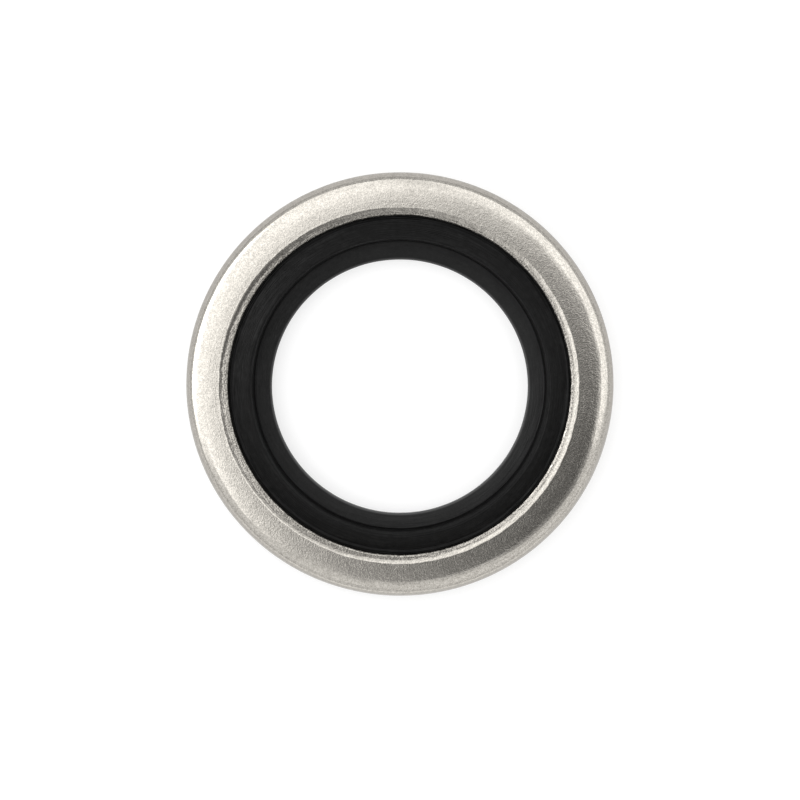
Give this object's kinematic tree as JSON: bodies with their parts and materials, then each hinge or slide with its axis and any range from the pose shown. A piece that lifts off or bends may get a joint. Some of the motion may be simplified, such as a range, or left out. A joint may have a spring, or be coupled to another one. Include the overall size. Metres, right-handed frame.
{
  "type": "bonded sealing washer",
  "caption": "Flat metal ring with a rubber seal moulded into its bore: a raised sealing lip on each side and a thin inner lip that centres the washer on a thread.",
  "frame": {"origin": "on the bore's axis, halfway through the thickness", "axes": "+Z along the bore's axis, out of the upper face; X and Y are free, because the washer is turned about Z"},
  "size_m": [0.024, 0.024, 0.002],
  "materials": {
    "steel": "bright satin, tumbled, finely speckled",
    "rubber": "moulded, smooth and slightly satin"
  },
  "bodies": {
    "root": {"metal_ring": "steel", "rubber_seal": "rubber"}
  },
  "joints": []
}
